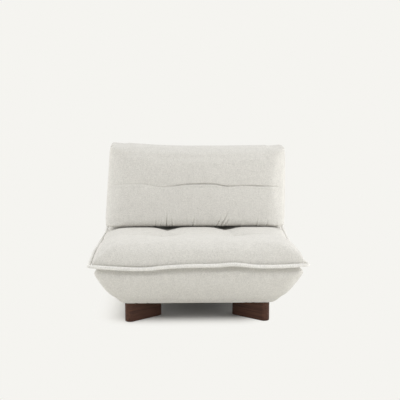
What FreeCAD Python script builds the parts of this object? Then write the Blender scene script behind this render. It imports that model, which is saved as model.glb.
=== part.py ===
"""Armless modular lounge chair at real size, in millimetres.

A tapered upholstered seat stands on four slanting plank legs. A separate padded back plugs into the
seat frame on two steel tongues and lifts straight off. A flat link plate swings out from under each
side to join the next chair in a row. X runs to the sitter's left, Y to the rear and Z up; the origin
is on the floor under the middle of the chair.
"""

import FreeCAD, Part

import math
import os

from FreeCAD import Placement, Rotation, Vector

# Seat outline, measured over the piping
seat_width = 1056.0
seat_depth = 1030.0
seam_height = 306.0
piping_d = 18.0
ear_radius = 26.0
side_draw_in = 12.0
front_draw_in = 7.0

# Tapered base of the seat: flat underside, two belly lines, a brim, then the seam.
# Each line is set in from the seat outline, at its sides and at its front and rear ends.
floor_gap = 95.0
base_side_inset = 160.0
base_end_inset = 134.0
base_corner_r = 46.0
low_belly_rise = 55.0
low_belly_side_inset = 110.0
low_belly_end_inset = 93.5
low_belly_corner_r = 50.0
high_belly_drop = 78.0
high_belly_side_inset = 56.0
high_belly_end_inset = 49.0
high_belly_corner_r = 40.0
brim_drop = 38.0
brim_side_inset = 31.0
brim_end_inset = 28.5
brim_corner_r = 30.0
brim_side_draw_in = 6.0
brim_end_draw_in = 4.0

# Puffed seat top, heights above the seam
seat_rim = 8.0
hem_height = 14.0
hem_run = 2.0
hem_dip = 1.0
nose_height = 68.0
nose_run = 26.0
brow_height = 90.0
brow_run = 84.0
front_crown = 94.0
front_crown_run = 190.0
row_crown = 69.0
seat_tuft_height = 42.0
rear_crown = 66.0
lobe_dip = 3.0
rear_lobe_dip = 12.0
lobe_line = 176.0
tuft_row_y = -84.0
rear_crest_y = 50.0
rear_row_y = 190.0
heel_run = 190.0
heel_brow_height = 55.0
heel_nose_height = 34.0
roll_run = 102.0
roll_drop = 7.0

# Cloth, foam and running room
cover_t = 3.0
soft_gap = 0.4
piping_gap = 0.8
fit_gap = 0.1
slot_gap = 3.0
cut_past = 1.0

# Timber frame inside the base, set in from the base's outline at the floor
frame_side_inset = 23.0
frame_end_inset = 25.0
rail_t = 25.0
rail_height = 96.0
panel_t = 9.0
centre_rail_height = 60.0
corner_block_leg = 70.0
corner_block_height = 55.0

# Sinuous springs and their clips
spring_count = 5
spring_side_room = 60.0
spring_wire_d = 3.8
spring_half_width = 24.0
spring_bars = 30
clip_t = 1.5
clip_width = 18.0
clip_foot = 22.0
pad_t = 3.0

# Plank legs
leg_length = 212.0
leg_thickness = 50.0
leg_angle = 40.0
leg_side_inset = 16.0
leg_end_inset = 3.0
leg_edge_r = 3.0
glide_d = 26.0
glide_t = 3.0
glide_spread = 120.0
leg_bolt_d = 8.0
leg_bolt_head_d = 13.0
leg_bolt_head_t = 5.3
leg_bolt_near = -8.0
leg_bolt_far = 56.0
washer_d = 24.0
washer_t = 2.0
insert_d = 12.0
insert_length = 25.0
bolt_end_room = 2.0

# Plug-in fittings between seat and back
tongue_width = 50.0
tongue_t = 6.0
tongue_side_room = 125.0
tongue_lap = 82.0
socket_wall = 2.5
socket_depth = 58.0
socket_floor_t = 2.5
socket_ear = 20.0
socket_slide_gap = 0.3
stop_gap = 0.3
screw_d = 4.5
screw_head_d = 9.0
screw_head_t = 2.4
screw_length = 18.0
screw_rise = 32.0

# Padded back, set in from the seat's sides and rear, with heights from the floor
back_side_inset = 47.0
back_top_narrowing = 14.0
back_top_height = 780.0
back_ear_rise = 15.0
back_foot_depth = 292.0
back_head_depth = 258.0
back_foot_inset = 117.0
back_head_inset = 37.0
back_seat_gap = 1.5
back_front_bulge = 15.0
back_rear_bulge = 12.0
back_top_bulge = 12.0
back_corner_r = 34.0
back_foot_r = 22.0
crease_height = 594.0
crease_depth = 4.0
back_tuft_depth = 10.0
back_tuft_x = 170.0
back_end_round = 30.0

# Timber frame inside the back
lean = 14.0
back_frame_side_inset = 51.0
back_frame_top_inset = 39.55
back_frame_t = 30.0
stile_width = 50.0
top_rail_height = 60.0
bottom_rail_height = 90.0
web_t = 2.0
web_width = 60.0
web_count = 3
back_frame_rise = 6.0

# Link plates that join chairs side by side
link_plate_width = 40.0
link_plate_t = 4.0
link_stud_room = 59.0
link_pivot_d = 10.0
link_running_gap = 0.05
link_head_d = 20.0
link_head_t = 4.0
link_spacer_d = 22.0
link_spacer_t = 1.5
link_thread_d = 8.0
link_thread_length = 40.0
link_hole_d = 9.0
link_stud_d = 8.0
link_stud_drop = 16.0
link_stud_collar_d = 18.0
link_stud_shank_d = 10.0
link_stud_shank_length = 30.0

# Places that follow from the sizes above
base_width = seat_width - 2 * base_side_inset
base_depth = seat_depth - 2 * base_end_inset
frame_width = base_width - 2 * frame_side_inset
frame_depth = base_depth - 2 * frame_end_inset
panel_top = floor_gap + panel_t
rail_top = panel_top + rail_height
wire_z = rail_top + clip_t + fit_gap + spring_wire_d / 2
clip_top = wire_z + spring_wire_d / 2 + fit_gap + clip_t
pad_bottom = clip_top + fit_gap
core_bottom = pad_bottom + pad_t
back_bottom = seam_height + rear_crown + back_seat_gap
rail_inner_x = frame_width / 2 - rail_t
rail_inner_y = frame_depth / 2 - rail_t
spring_pitch = 2 * (rail_inner_x - spring_side_room) / (spring_count - 1)
tongue_x = rail_inner_x - tongue_side_room
socket_inner_t = tongue_t + 2 * socket_slide_gap
socket_inner_w = tongue_width + 2 * socket_slide_gap
tongue_y = rail_inner_y - socket_wall - socket_inner_t / 2
socket_bottom = rail_top - socket_depth
tongue_bottom = socket_bottom + socket_floor_t + stop_gap
back_frame_y = tongue_y - tongue_t / 2
back_frame_z = back_bottom + back_frame_rise
back_width = seat_width - 2 * back_side_inset
back_rear_bottom_y = seat_depth / 2 - back_foot_inset
back_rear_top_y = seat_depth / 2 - back_head_inset
back_front_bottom_y = back_rear_bottom_y - back_foot_depth
back_front_top_y = back_rear_top_y - back_head_depth
back_frame_width = back_width - 2 * back_frame_side_inset
back_frame_top = back_top_height - back_frame_top_inset
back_frame_height = (back_frame_top - back_frame_z) / math.cos(math.radians(lean))
link_x = frame_width / 2 - rail_t / 2
link_reach = seat_width - 2 * link_x
link_pivot_y = -(link_reach + link_stud_room) / 2
link_plate_top = floor_gap - link_spacer_t
link_plate_bottom = link_plate_top - link_plate_t
half_depth = seat_depth / 2 - piping_d
half_width = seat_width / 2 - piping_d

# Helpers


def save(name, shape):
    """Writes one named piece to its own file."""
    shape.exportStep("parts/" + name + ".step")


def box(x0, x1, y0, y1, z0, z1):
    return Part.makeBox(x1 - x0, y1 - y0, z1 - z0, Vector(x0, y0, z0))


def post(x, y, z0, z1, diameter):
    """Upright round bar from z0 to z1."""
    return Part.makeCylinder(diameter / 2, z1 - z0, Vector(x, y, z0))


def arc(start, middle, end):
    return Part.Arc(start, middle, end).toShape()


def line(start, end):
    return Part.LineSegment(start, end).toShape()


def fused(shapes):
    """One solid from pieces that touch or overlap."""
    return shapes[0].multiFuse(shapes[1:]).removeSplitter()


def group(shapes):
    """Separate solids that share one name."""
    return Part.makeCompound(shapes)


# Seat outline and its soft solids


def soft_rectangle(half_x, half_y, corner_r, draw_x, draw_y, z):
    """Closed outline whose four corners are round and whose sides are drawn in at the middle."""
    cx = half_x - corner_r
    cy = half_y - corner_r
    corners = [Vector(cx, -cy, z), Vector(cx, cy, z), Vector(-cx, cy, z), Vector(-cx, -cy, z)]
    normals = [Vector(1, 0, 0), Vector(0, 1, 0), Vector(-1, 0, 0), Vector(0, -1, 0)]
    reaches = [half_x, half_y, half_x, half_y]
    spans = [cy, cx, cy, cx]
    draws = [draw_x, draw_y, draw_x, draw_y]
    edges = []
    for i in range(4):
        out, ahead = normals[i], normals[(i + 1) % 4]
        corner, next_corner = corners[i], corners[(i + 1) % 4]
        leave = side_touch(out, ahead, spans[i], draws[i])
        start = corner + leave * corner_r
        arrive = leave - ahead * (2 * leave.dot(ahead))
        end = next_corner + arrive * corner_r
        middle = out * (reaches[i] - draws[i]) + Vector(0, 0, z)
        edges.append(arc(start, middle, end) if draws[i] else line(start, end))
        turn = side_touch(ahead, out * -1, spans[(i + 1) % 4], draws[(i + 1) % 4])
        next_start = next_corner + turn * corner_r
        tip = (arrive + turn).normalize()
        edges.append(arc(end, next_corner + tip * corner_r, next_start))
    return Part.Wire(edges)


def side_touch(out, ahead, span, draw):
    """Direction from a corner's centre to where a side that is drawn in by an arc touches it."""
    if not draw:
        return Vector(out)
    arc_radius = (span * span + draw * draw) / (2 * draw)
    return (out * (arc_radius - draw) + ahead * span).normalize()


def seam_outline(inset, z):
    """Outline of the seat at the seam, set in from the piping's centre line."""
    half_x = seat_width / 2 - piping_d / 2 - inset
    half_y = seat_depth / 2 - piping_d / 2 - inset
    return soft_rectangle(half_x, half_y, ear_radius - inset, side_draw_in, front_draw_in, z)


def seam_inset(skin):
    return piping_d / 2 + piping_gap + skin


def base_solid(skin, top_room):
    """Tapered lower half of the seat, set in by a skin and carried past the seam by top_room."""
    foot = (base_side_inset, base_end_inset, base_corner_r, 0, 0)
    low_belly = (low_belly_side_inset, low_belly_end_inset, low_belly_corner_r, 0, 0)
    high_belly = (high_belly_side_inset, high_belly_end_inset, high_belly_corner_r, 0, 0)
    brim_draw_in = (brim_side_draw_in, brim_end_draw_in)
    brim = (brim_side_inset, brim_end_inset, brim_corner_r, *brim_draw_in)
    lines = [
        (foot, floor_gap + skin),
        (low_belly, floor_gap + low_belly_rise),
        (high_belly, seam_height - high_belly_drop),
        (brim, seam_height - brim_drop),
    ]
    wires = []
    for (side, end, corner_r, side_draw, end_draw), z in lines:
        half_x = seat_width / 2 - side - skin
        half_y = seat_depth / 2 - end - skin
        wires.append(soft_rectangle(half_x, half_y, corner_r - skin, side_draw, end_draw, z))
    wires.append(seam_outline(seam_inset(skin), seam_height))
    tapered = Part.makeLoft(wires, True, False)
    if not top_room:
        return tapered
    collar = Part.Face(wires[-1]).extrude(Vector(0, 0, top_room))
    return tapered.fuse(collar)


def frame_space(z0, z1):
    """Room for the timber frame through the base."""
    x = frame_width / 2 + soft_gap
    y = frame_depth / 2 + soft_gap
    return box(-x, x, -y, y, z0, z1)


def tongue_slots(z0, z1):
    """Slots that let both steel tongues pass, as a tool to cut with."""
    x = tongue_width / 2 + slot_gap
    y = tongue_t / 2 + slot_gap
    return group(
        [
            box(s * tongue_x - x, s * tongue_x + x, tongue_y - y, tongue_y + y, z0, z1)
            for s in (-1, 1)
        ]
    )


def seat_section(y, crown, valley, skin, foot):
    """Cross-section of the puffed seat top: two rolled sides and three lobes over a flat foot."""
    w = half_width - skin
    low = seam_height - foot
    rim = seam_height + seat_rim - skin
    top = seam_height + crown - skin
    dip = seam_height + valley - skin
    shoulder_x = half_width - roll_run
    shoulder = rim + (top - rim) * (1 - roll_drop / front_crown)
    roll_x = half_width - skin - roll_run / 4
    roll = rim + (shoulder - rim) * math.sin(math.pi / 4)
    lobe_x = (shoulder_x + lobe_line) / 2

    def at(x, z):
        return Vector(x, y, z)

    edges = [
        line(at(-w, low), at(w, low)),
        line(at(w, low), at(w, rim)),
        arc(at(w, rim), at(roll_x, roll), at(shoulder_x, shoulder)),
        arc(at(shoulder_x, shoulder), at(lobe_x, top), at(lobe_line, dip)),
        arc(at(lobe_line, dip), at(0, top), at(-lobe_line, dip)),
        arc(at(-lobe_line, dip), at(-lobe_x, top), at(-shoulder_x, shoulder)),
        arc(at(-shoulder_x, shoulder), at(-roll_x, roll), at(-w, rim)),
        line(at(-w, rim), at(-w, low)),
    ]
    return Part.Wire(edges)


def seat_solid(skin, foot):
    """Puffed seat top with its rolled edges, lobes and sewn tuft rows, set in by a skin."""
    front = -half_depth
    rear = half_depth
    stations = [
        (front - hem_run, hem_height, hem_height - hem_dip),
        (front + nose_run, nose_height, nose_height - hem_dip),
        (front + brow_run, brow_height, brow_height - lobe_dip / 2),
        (front + front_crown_run, front_crown, front_crown - lobe_dip),
        (tuft_row_y, row_crown, seat_tuft_height),
        (rear_crest_y, rear_crown, rear_crown - rear_lobe_dip),
        (rear_row_y, rear_crown, rear_crown - rear_lobe_dip),
        (rear - heel_run, rear_crown, rear_crown - lobe_dip),
        (rear - brow_run, heel_brow_height, heel_brow_height - lobe_dip / 2),
        (rear - nose_run, heel_nose_height, heel_nose_height - hem_dip),
        (rear + hem_run, hem_height, hem_height - hem_dip),
    ]
    wires = [seat_section(y, crown, valley, skin, foot) for y, crown, valley in stations]
    puffed = Part.makeLoft(wires, True, False)
    outline = Part.Face(seam_outline(seam_inset(skin), seam_height - foot))
    return puffed.common(outline.extrude(Vector(0, 0, foot + front_crown + piping_d)))


def make_seat_soft_pieces():
    """Foam and cover of the base, core, fill and cover of the seat top, and the piping."""
    through = (floor_gap - piping_d, seam_height + piping_d)
    base = base_solid(0, 0)
    base_room = base_solid(cover_t, piping_d)
    save("base_cover", base.cut(base_room).cut(frame_space(*through)))
    foam = base_solid(cover_t + soft_gap, 0).cut(frame_space(*through))
    save("base_foam", foam)

    above = (seam_height - piping_d, seam_height + front_crown + piping_d)
    seat = seat_solid(0, 0)
    seat_room = seat_solid(cover_t, piping_d)
    save("seat_cover", seat.cut(seat_room).cut(tongue_slots(*above)))
    save("seat_fill", seat_solid(cover_t + soft_gap, 0).cut(tongue_slots(*above)))

    x = frame_width / 2
    y = frame_depth / 2
    core = box(-x, x, -y, y, core_bottom, seam_height)
    save("seat_foam_core", core.cut(tongue_slots(*through)))
    pad = box(-x, x, -y, y, pad_bottom, core_bottom)
    save("spring_pad", pad.cut(tongue_slots(*through)))

    path = seam_outline(0, seam_height)
    start = path.Edges[0].Vertexes[0].Point
    tangent = path.Edges[0].tangentAt(path.Edges[0].FirstParameter)
    ring = Part.Wire(Part.Circle(start, tangent, piping_d / 2).toShape())
    save("seat_piping", path.makePipeShell([ring], True, False))


# Timber frame, springs and clips of the seat


def make_frame():
    """Plywood bottom panel, four rails, a centre rail and glued corner blocks."""
    x = frame_width / 2
    y = frame_depth / 2
    panel = box(-x, x, -y, y, floor_gap, panel_top)
    panel = panel.cut(group(leg_bolt_holes(floor_gap - cut_past, panel_top + cut_past)))
    panel = panel.cut(group(link_panel_holes()))
    save("bottom_panel", panel)

    front = box(-x, x, -y, -rail_inner_y, panel_top, rail_top)
    rear = box(-x, x, rail_inner_y, y, panel_top, rail_top)
    save("front_rail", front)
    save("rear_rail", rear.cut(group(socket_screw_holes())))
    right = box(rail_inner_x, x, -rail_inner_y, rail_inner_y, panel_top, rail_top)
    right = right.cut(group(link_rail_holes()))
    save("side_rail_right", right)
    half_turn = Rotation(Vector(0, 0, 1), 180)
    left = right.copy()
    left.Placement = Placement(Vector(0, 0, 0), half_turn)
    save("side_rail_left", left)
    half_t = rail_t / 2
    centre_top = panel_top + centre_rail_height
    save("centre_rail", box(-half_t, half_t, -rail_inner_y, rail_inner_y, panel_top, centre_top))

    blocks = []
    for sx in (-1, 1):
        for sy in (-1, 1):
            corner = Vector(sx * rail_inner_x, sy * rail_inner_y, rail_top - corner_block_height)
            along_x = corner - Vector(sx * corner_block_leg, 0, 0)
            along_y = corner - Vector(0, sy * corner_block_leg, 0)
            face = Part.Face(Part.makePolygon([corner, along_x, along_y, corner]))
            blocks.append(face.extrude(Vector(0, 0, corner_block_height)))
    save("corner_blocks", group(blocks))


def spring_places():
    return [(i - (spring_count - 1) / 2) * spring_pitch for i in range(spring_count)]


def spring_end_y():
    """Distance of each end bar from the middle, over the middle of a rail."""
    return frame_depth / 2 - rail_t / 2


def sinuous_spring(x):
    """Zigzag wire from the front rail to the rear rail: cross bars joined by half-round bends."""
    step = 2 * spring_end_y() / (spring_bars - 1)
    bend_r = step / 2
    bar = spring_half_width - bend_r - spring_wire_d / 2
    edges = []
    for i in range(spring_bars):
        y = -spring_end_y() + i * step
        side = 1 if i % 2 == 0 else -1
        a = Vector(x - side * bar, y, wire_z)
        b = Vector(x + side * bar, y, wire_z)
        edges.append(line(a, b))
        if i < spring_bars - 1:
            tip = Vector(x + side * (bar + bend_r), y + bend_r, wire_z)
            edges.append(arc(b, tip, b + Vector(0, step, 0)))
    path = Part.Wire(edges)
    start = edges[0].Vertexes[0].Point
    ring = Part.Wire(Part.Circle(start, Vector(1, 0, 0), spring_wire_d / 2).toShape())
    return path.makePipeShell([ring], True, False)


def spring_clip(x, y):
    """Bent steel clip screwed on a rail, curled round an end bar."""
    inner = spring_wire_d / 2 + fit_gap
    x0 = x - clip_width / 2
    foot = box(x0, x0 + clip_width, y - clip_foot / 2, y + clip_foot / 2, rail_top, rail_top + clip_t)
    axis = Vector(1, 0, 0)
    centre = Vector(x0, y, wire_z)
    curl = Part.makeCylinder(inner + clip_t, clip_width, centre, axis)
    return foot.fuse(curl).cut(Part.makeCylinder(inner, clip_width, centre, axis)).removeSplitter()


def make_springs():
    """Sinuous springs across the frame and the clips that hold their ends."""
    save("seat_springs", group([sinuous_spring(x) for x in spring_places()]))
    ends = (-spring_end_y(), spring_end_y())
    save("spring_clips", group([spring_clip(x, y) for x in spring_places() for y in ends]))


# Legs, their fixings and glides


def leg_axis():
    """Centre of a leg in plan and the direction of its length, for the rear right corner."""
    angle = math.radians(leg_angle)
    along = Vector(math.cos(angle), math.sin(angle), 0)
    r = leg_thickness / 2
    tip_x = base_width / 2 - leg_side_inset - r
    tip_y = base_depth / 2 - leg_end_inset - r
    return Vector(tip_x, tip_y, 0) - along * (leg_length / 2 - r), along


def corner_point(sx, sy, distance):
    """Point on a leg's centre line, measured from its middle towards the chair's middle."""
    centre, along = leg_axis()
    p = centre - along * distance
    return Vector(sx * p.x, sy * p.y, 0)


def leg_corners():
    return [
        ("leg_front_left", -1, -1),
        ("leg_front_right", 1, -1),
        ("leg_rear_left", -1, 1),
        ("leg_rear_right", 1, 1),
    ]


def leg_bolt_points():
    distances = (leg_bolt_near, leg_bolt_far)
    return [corner_point(sx, sy, d) for _, sx, sy in leg_corners() for d in distances]


def leg_bolt_holes(z0, z1):
    """Clearance holes for the leg bolts through the bottom panel."""
    hole_d = leg_bolt_d + 2 * fit_gap
    return [post(p.x, p.y, z0, z1, hole_d) for p in leg_bolt_points()]


def plank_leg(sx, sy):
    """Upright plank with round ends, eased edges and two drilled holes for its inserts."""
    straight = leg_length / 2 - leg_thickness / 2
    outer = corner_point(sx, sy, -straight)
    inner = corner_point(sx, sy, straight)
    along = (inner - outer).normalize()
    across = Vector(-along.y, along.x, 0) * (leg_thickness / 2)
    lift = Vector(0, 0, glide_t)
    a, b, c, d = outer + across, inner + across, inner - across, outer - across
    r = leg_thickness / 2
    edges = [
        line(a, b),
        arc(b, inner + along * r, c),
        line(c, d),
        arc(d, outer - along * r, a),
    ]
    plan = Part.Face(Part.Wire(edges))
    plan.translate(lift)
    leg = plan.extrude(Vector(0, 0, floor_gap - glide_t))
    rims = [e for e in leg.Edges if abs(e.BoundBox.ZMax - glide_t) < fit_gap]
    leg = leg.makeFillet(leg_edge_r, rims)
    drill_d = insert_d + 2 * fit_gap
    for distance in (leg_bolt_near, leg_bolt_far):
        p = corner_point(sx, sy, distance)
        leg = leg.cut(post(p.x, p.y, leg_bolt_end() - bolt_end_room, floor_gap, drill_d))
    return leg


def leg_bolt_end():
    return floor_gap - insert_length


def make_legs():
    """Four legs, their glides, threaded sleeves, bolts and washers."""
    glides = []
    for name, sx, sy in leg_corners():
        save(name, plank_leg(sx, sy))
        for distance in (-glide_spread / 2, glide_spread / 2):
            p = corner_point(sx, sy, distance)
            glides.append(post(p.x, p.y, 0, glide_t, glide_d))
    save("felt_glides", group(glides))

    inserts, bolts, washers = [], [], []
    bore_d = leg_bolt_d + 2 * fit_gap
    head_bottom = panel_top + washer_t
    for p in leg_bolt_points():
        sleeve = post(p.x, p.y, floor_gap - insert_length, floor_gap, insert_d)
        inserts.append(sleeve.cut(post(p.x, p.y, floor_gap - insert_length, floor_gap, bore_d)))
        shank = post(p.x, p.y, leg_bolt_end(), head_bottom, leg_bolt_d)
        head = post(p.x, p.y, head_bottom, head_bottom + leg_bolt_head_t, leg_bolt_head_d)
        bolts.append(shank.fuse(head).removeSplitter())
        ring = post(p.x, p.y, panel_top, head_bottom, washer_d)
        washers.append(ring.cut(post(p.x, p.y, panel_top, head_bottom, bore_d)))
    save("leg_inserts", group(inserts))
    save("leg_bolts", group(bolts))
    save("leg_washers", group(washers))


# Sockets in the seat frame for the back's tongues


def socket_screw_points():
    """Places of the screws in each socket's ears, on the front face of the rear rail."""
    reach = socket_inner_w / 2 + socket_wall + socket_ear / 2
    middle = socket_bottom + socket_depth / 2
    heights = (middle - screw_rise / 2, middle + screw_rise / 2)
    return [(s * tongue_x + e * reach, z) for s in (-1, 1) for e in (-1, 1) for z in heights]


def socket_screw_holes():
    hole_r = screw_d / 2 + fit_gap
    depth = screw_length - socket_wall + bolt_end_room
    back = Vector(0, 1, 0)
    return [
        Part.makeCylinder(hole_r, depth, Vector(x, rail_inner_y, z), back)
        for x, z in socket_screw_points()
    ]


def back_socket(side):
    """Steel sleeve with a floor and two screw ears, fixed on the rear rail."""
    x = side * tongue_x
    inner_x = socket_inner_w / 2
    outer_x = inner_x + socket_wall
    y0 = rail_inner_y - 2 * socket_wall - socket_inner_t
    z1 = rail_top
    shell = box(x - outer_x, x + outer_x, y0, rail_inner_y, socket_bottom, z1)
    ear_x = outer_x + socket_ear
    ears = box(x - ear_x, x + ear_x, rail_inner_y - socket_wall, rail_inner_y, socket_bottom, z1)
    room_y = (tongue_y - socket_inner_t / 2, tongue_y + socket_inner_t / 2)
    room = box(x - inner_x, x + inner_x, *room_y, socket_bottom + socket_floor_t, z1 + cut_past)
    body = fused([shell, ears]).cut(room)
    hole_r = screw_d / 2 + fit_gap
    for sx, z in socket_screw_points():
        start = Vector(sx, rail_inner_y - 2 * socket_wall, z)
        body = body.cut(Part.makeCylinder(hole_r, 3 * socket_wall, start, Vector(0, 1, 0)))
    return body


def make_sockets():
    save("back_socket_left", back_socket(-1))
    save("back_socket_right", back_socket(1))
    screws = []
    face = rail_inner_y - socket_wall
    for x, z in socket_screw_points():
        head_at = Vector(x, face - screw_head_t, z)
        head = Part.makeCylinder(screw_head_d / 2, screw_head_t, head_at, Vector(0, 1, 0))
        shank = Part.makeCylinder(screw_d / 2, screw_length, Vector(x, face, z), Vector(0, 1, 0))
        screws.append(head.fuse(shank).removeSplitter())
    save("socket_screws", group(screws))


# Back: leaning frame, webbing, tongues, fill and cover


def leaned(shape):
    """Moves a piece from the back frame's own upright place to where it leans in the chair."""
    shape.Placement = Placement(
        Vector(0, back_frame_y, back_frame_z), Rotation(Vector(1, 0, 0), -lean)
    ).multiply(shape.Placement)
    return shape


def make_back_frame():
    """Two stiles, a top and a bottom rail, and elastic webbing stretched across the front."""
    x = back_frame_width / 2
    inner = x - stile_width
    t = back_frame_t
    top = back_frame_height
    tops = (top - top_rail_height, top)
    save("back_stile_right", leaned(box(inner, x, -t, 0, 0, top)))
    save("back_stile_left", leaned(box(-x, -inner, -t, 0, 0, top)))
    save("back_top_rail", leaned(box(-inner, inner, -t, 0, *tops)))
    bottom = box(-inner, inner, -t, 0, 0, bottom_rail_height)
    save("back_bottom_rail", leaned(bottom.cut(group(tongue_screw_holes()))))
    room = top - top_rail_height - bottom_rail_height
    gap = (room - web_count * web_width) / (web_count + 1)
    straps = []
    for i in range(web_count):
        z = bottom_rail_height + gap + i * (web_width + gap)
        straps.append(leaned(box(-x, x, -t - web_t, -t, z, z + web_width)))
    save("back_webbing", group(straps))


def tongue_screw_points():
    """Places of the screws in the back frame's own upright place."""
    middle = tongue_lap / 2
    heights = (middle - screw_rise / 2, middle + screw_rise / 2)
    return [(s * tongue_x, z) for s in (-1, 1) for z in heights]


def tongue_screw_holes():
    hole_r = screw_d / 2 + fit_gap
    depth = screw_length - tongue_t + bolt_end_room
    return [
        Part.makeCylinder(hole_r, depth, Vector(x, 0, z), Vector(0, -1, 0))
        for x, z in tongue_screw_points()
    ]


def back_tongue(side):
    """Flat steel bar: upright below, then bent to lie along the back of the bottom rail."""
    angle = math.radians(lean)
    along = Vector(0, math.sin(angle), math.cos(angle))
    away = Vector(0, math.cos(angle), -math.sin(angle))
    x0 = side * tongue_x - tongue_width / 2
    bend = Vector(x0, back_frame_y, back_frame_z)
    low_front = Vector(x0, back_frame_y, tongue_bottom)
    low_rear = low_front + Vector(0, tongue_t, 0)
    outer_bend = bend + Vector(0, tongue_t, -tongue_t * math.tan(angle / 2))
    top_front = bend + along * tongue_lap
    top_rear = top_front + away * tongue_t
    outline = [low_front, low_rear, outer_bend, top_rear, top_front, bend, low_front]
    bar = Part.Face(Part.makePolygon(outline)).extrude(Vector(tongue_width, 0, 0))
    hole_r = screw_d / 2 + fit_gap
    for x, z in tongue_screw_points():
        start = Vector(x, -tongue_t, z)
        bar = bar.cut(leaned(Part.makeCylinder(hole_r, 3 * tongue_t, start, Vector(0, 1, 0))))
    return bar


def make_tongues():
    save("back_tongue_left", back_tongue(-1))
    save("back_tongue_right", back_tongue(1))
    screws = []
    for x, z in tongue_screw_points():
        head_at = Vector(x, tongue_t, z)
        head = Part.makeCylinder(screw_head_d / 2, screw_head_t, head_at, Vector(0, 1, 0))
        shank = Part.makeCylinder(screw_d / 2, screw_length, head_at, Vector(0, -1, 0))
        screws.append(leaned(head.fuse(shank).removeSplitter()))
    save("tongue_screws", group(screws))


def back_section(x, inset, crease, ear, skin):
    """Cross-section of the padded back: flat foot, two front puffs, a crowned top, a fuller rear."""
    i = inset + skin
    foot = back_bottom + skin
    top = back_top_height + ear - i
    front_run = (back_front_top_y - back_front_bottom_y) / (back_top_height - back_bottom)
    rear_run = (back_rear_top_y - back_rear_bottom_y) / (back_top_height - back_bottom)
    narrowing = back_top_narrowing / back_width / (back_top_height - back_bottom)

    def at(y, z):
        return Vector(x * (1 - narrowing * (z - back_bottom)), y, z)

    def front(z, push):
        return at(back_front_bottom_y + front_run * (z - back_bottom) + i - push, z)

    def rear(z, push):
        return at(back_rear_bottom_y + rear_run * (z - back_bottom) - i + push, z)

    foot_front = at(front(foot, 0).y + back_foot_r, foot)
    foot_rear = at(rear(foot, 0).y - back_foot_r, foot)
    low_front = front(foot + back_foot_r, 0)
    low_rear = rear(foot + back_foot_r, 0)
    crease_at = front(crease_height, -crease)
    high_front = front(top - back_corner_r, 0)
    high_rear = rear(top - back_corner_r, 0)
    top_front = at(front(top, 0).y + back_corner_r, top)
    top_rear = at(rear(top, 0).y - back_corner_r, top)
    round_in = 1 - math.sin(math.pi / 4)
    foot_in, corner_in = back_foot_r * round_in, back_corner_r * round_in
    low_middle = (low_front.z + crease_height) / 2
    high_middle = (high_front.z + crease_height) / 2
    rear_middle = (low_rear.z + high_rear.z) / 2
    top_middle = at((top_front.y + top_rear.y) / 2, top + back_top_bulge)
    edges = [
        line(foot_rear, foot_front),
        arc(foot_front, front(foot + foot_in, -foot_in), low_front),
        arc(low_front, front(low_middle, back_front_bulge), crease_at),
        arc(crease_at, front(high_middle, back_front_bulge), high_front),
        arc(high_front, front(top - corner_in, -corner_in), top_front),
        arc(top_front, top_middle, top_rear),
        arc(top_rear, rear(top - corner_in, -corner_in), high_rear),
        arc(high_rear, rear(rear_middle, back_rear_bulge), low_rear),
        arc(low_rear, rear(foot + foot_in, -foot_in), foot_rear),
    ]
    return Part.Wire(edges)


def back_solid(skin):
    """Padded back as one body with a sewn crease, two tufts and raised top corners."""
    end = back_width / 2 - skin
    lobe_x = (back_tuft_x + end) / 2
    half_side = [
        (back_tuft_x, 0, back_tuft_depth, 0),
        (lobe_x, 0, crease_depth, back_ear_rise / 3),
        (end - back_end_round, 0, crease_depth, back_ear_rise),
        (end - back_end_round / 4, back_end_round / 4, crease_depth, back_ear_rise),
        (end, back_end_round, crease_depth, back_ear_rise),
    ]
    middle = [(0, 0, crease_depth, 0)]
    left = [(-x, inset, crease, ear) for x, inset, crease, ear in reversed(half_side)]
    wires = [back_section(*station, skin) for station in left + middle + half_side]
    return Part.makeLoft(wires, True, False)


def back_pocket(z_low):
    """Leaning room for the frame, its webbing and the tongues, open at the foot of the back."""
    x = back_frame_width / 2 + soft_gap
    front = -back_frame_t - web_t - soft_gap
    rear = tongue_t + screw_head_t + soft_gap
    return leaned(box(-x, x, front, rear, z_low, back_frame_height + soft_gap))


def make_back_soft_pieces():
    """Fill and sewn cover of the back, both slipped over the frame from above."""
    pocket = back_pocket(-back_frame_rise - piping_d)
    room = back_solid(cover_t).fuse(pocket)
    save("back_cover", back_solid(0).cut(room))
    save("back_fill", back_solid(cover_t + soft_gap).cut(pocket))


# Link plates under both sides


def link_panel_holes():
    """Holes in the bottom panel for the pivot bolts' threads and the studs."""
    z = (floor_gap - cut_past, panel_top + cut_past)
    thread_d = link_thread_d + 2 * fit_gap
    holes = []
    for s in (-1, 1):
        holes.append(post(s * link_x, s * link_pivot_y, *z, thread_d))
        holes.append(post(s * link_x, -s * link_pivot_y, *z, link_stud_shank_d + 2 * fit_gap))
    return holes


def link_rail_holes():
    """Blind holes in the right rail for its pivot bolt and its stud."""
    thread_top = floor_gap + link_thread_length + bolt_end_room
    shank_top = floor_gap + link_stud_shank_length + bolt_end_room
    thread_d = link_thread_d + 2 * fit_gap
    shank_d = link_stud_shank_d + 2 * fit_gap
    return [
        post(link_x, link_pivot_y, panel_top, thread_top, thread_d),
        post(link_x, -link_pivot_y, panel_top, shank_top, shank_d),
    ]


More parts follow.
